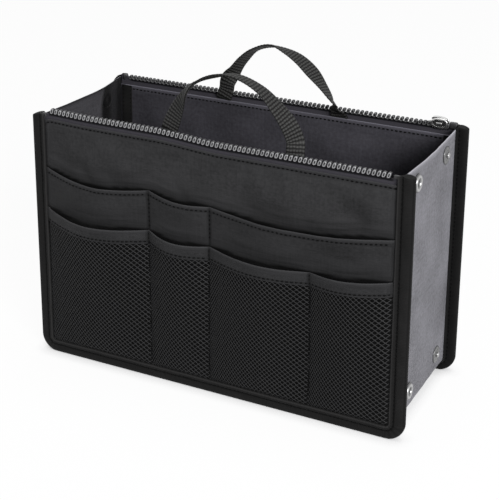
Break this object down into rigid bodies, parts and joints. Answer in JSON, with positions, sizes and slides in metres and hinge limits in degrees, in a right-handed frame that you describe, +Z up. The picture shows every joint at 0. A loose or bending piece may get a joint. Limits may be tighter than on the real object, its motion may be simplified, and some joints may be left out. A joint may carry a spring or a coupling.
{
  "type": "purse organizer insert",
  "caption": "Folding fabric purse organizer insert with slip and net pockets on the front, side gussets with snaps, zip edges and webbing handles.",
  "frame": {"origin": "centre of the footprint, on the surface that the bottom bindings stand on", "axes": "+Z up, -Y out of the pocketed front panel, +X to the right when facing that panel"},
  "size_m": [0.2994, 0.136, 0.2459],
  "materials": {
    "black_nylon": "matte woven nylon",
    "charcoal_nylon": "thin lining with a soft sheen",
    "grey_nylon": "matte woven nylon",
    "binding_tape": "ribbed binding tape",
    "net": "open diamond net",
    "webbing": "ribbed webbing",
    "stiff_sheet": "plain sheet, hidden",
    "dark_plastic": "moulded, slightly glossy",
    "nickel": "nickel plated"
  },
  "bodies": {
    "front_panel": {"front_outer_cloth": "black_nylon", "front_stiffener": "stiff_sheet", "front_lining": "charcoal_nylon", "front_gusset_seam": "grey_nylon", "front_binding": "binding_tape", "front_seam_tape_left": "binding_tape", "front_seam_tape_right": "binding_tape", "front_zip_tape": "binding_tape", "front_zip_teeth": "dark_plastic", "front_zip_stop": "dark_plastic", "front_zip_pin": "dark_plastic", "upper_pocket": "black_nylon", "net_pocket": "net", "net_pocket_band": "black_nylon", "front_handle_end_left": "webbing", "front_handle_end_right": "webbing", "base_corner_left": "grey_nylon", "base_corner_right": "grey_nylon"},
    "back_panel": {"back_outer_cloth": "black_nylon", "back_stiffener": "stiff_sheet", "back_lining": "charcoal_nylon", "back_gusset_seam": "grey_nylon", "back_binding": "binding_tape", "back_seam_tape_left": "binding_tape", "back_seam_tape_right": "binding_tape", "back_zip_tape": "binding_tape", "back_zip_teeth": "dark_plastic", "back_zip_stop": "dark_plastic", "back_zip_retainer": "dark_plastic", "back_handle_end_left": "webbing", "back_handle_end_right": "webbing"},
    "base_front_half": {"base_front": "grey_nylon"},
    "base_back_half": {"base_back": "grey_nylon"},
    "front_handle_loop": {"front_handle": "webbing"},
    "back_handle_loop": {"back_handle": "webbing"},
    "slider": {"zip_slider": "nickel"},
    "pull": {"zip_pull": "nickel"},
    "left_gusset_front_half": {"left_gusset_front": "grey_nylon", "left_lower_socket": "nickel", "left_lower_socket_cap": "nickel", "left_upper_socket": "nickel", "left_upper_socket_cap": "nickel"},
    "left_gusset_back_half": {"left_gusset_back": "grey_nylon", "left_lower_stud": "nickel", "left_lower_stud_cap": "nickel", "left_upper_stud": "nickel", "left_upper_stud_cap": "nickel"},
    "right_gusset_front_half": {"right_gusset_front": "grey_nylon", "right_lower_socket": "nickel", "right_lower_socket_cap": "nickel", "right_upper_socket": "nickel", "right_upper_socket_cap": "nickel"},
    "right_gusset_back_half": {"right_gusset_back": "grey_nylon", "right_lower_stud": "nickel", "right_lower_stud_cap": "nickel", "right_upper_stud": "nickel", "right_upper_stud_cap": "nickel"}
  },
  "joints": [
    {"name": "fold", "type": "hinge", "parent": "front_panel", "child": "right_gusset_front_half", "pos_m": [0.14095, -0.0462, 0.1], "axis": [-0.0205, 0, 0.9998], "range_deg": [0, 85.5], "deforming": ["base_corner_left", "base_corner_right"]},
    {"name": "right_crease", "type": "hinge", "parent": "right_gusset_front_half", "child": "right_gusset_back_half", "pos_m": [0.14095, 0.0057, 0.1], "axis": [-0.0205, 0, 0.9998], "range_deg": [-171, 0]},
    {"name": "right_back_seam", "type": "hinge", "parent": "right_gusset_back_half", "child": "back_panel", "pos_m": [0.14095, 0.0576, 0.1], "axis": [-0.0205, 0, 0.9998], "range_deg": [0, 85.5]},
    {"name": "left_front_seam", "type": "hinge", "parent": "front_panel", "child": "left_gusset_front_half", "pos_m": [-0.14095, -0.0462, 0.1], "axis": [-0.0205, 0, -0.9998], "range_deg": [0, 85.5]},
    {"name": "left_back_seam", "type": "hinge", "parent": "back_panel", "child": "left_gusset_back_half", "pos_m": [-0.14095, 0.0576, 0.1], "axis": [0.0205, 0, 0.9998], "range_deg": [0, 85.5]},
    {"name": "base_front_seam", "type": "hinge", "parent": "front_panel", "child": "base_front_half", "pos_m": [0, -0.0462, 0.007], "axis": [1, 0, 0], "range_deg": [0, 85.5]},
    {"name": "base_back_seam", "type": "hinge", "parent": "back_panel", "child": "base_back_half", "pos_m": [0, 0.0576, 0.007], "axis": [-1, 0, 0], "range_deg": [0, 85.5]},
    {"name": "front_handle_fold", "type": "hinge", "parent": "front_panel", "child": "front_handle_loop", "pos_m": [0.01325, -0.0468, 0.19825], "axis": [1, 0, 0], "range_deg": [0, 90], "stiffness_Nm_per_rad": 0.004},
    {"name": "back_handle_fold", "type": "hinge", "parent": "back_panel", "child": "back_handle_loop", "pos_m": [0, 0.0582, 0.19825], "axis": [-1, 0, 0], "range_deg": [0, 90], "stiffness_Nm_per_rad": 0.004},
    {"name": "zip_travel", "type": "slide", "parent": "back_panel", "child": "slider", "axis": [1, 0, 0], "range_m": [-0.2505, 0]},
    {"name": "pull_swing", "type": "hinge", "parent": "slider", "child": "pull", "pos_m": [0.12498, 0.06595, 0.1952], "axis": [0, 0, -1], "range_deg": [0, 150]}
  ],
  "couplings": [
    {"joint": "right_crease", "follows": "fold", "ratio": -2},
    {"joint": "right_back_seam", "follows": "fold", "ratio": 1},
    {"joint": "left_front_seam", "follows": "fold", "ratio": 1},
    {"joint": "left_back_seam", "follows": "fold", "ratio": 1},
    {"joint": "base_front_seam", "follows": "fold", "ratio": 1},
    {"joint": "base_back_seam", "follows": "fold", "ratio": 1}
  ]
}
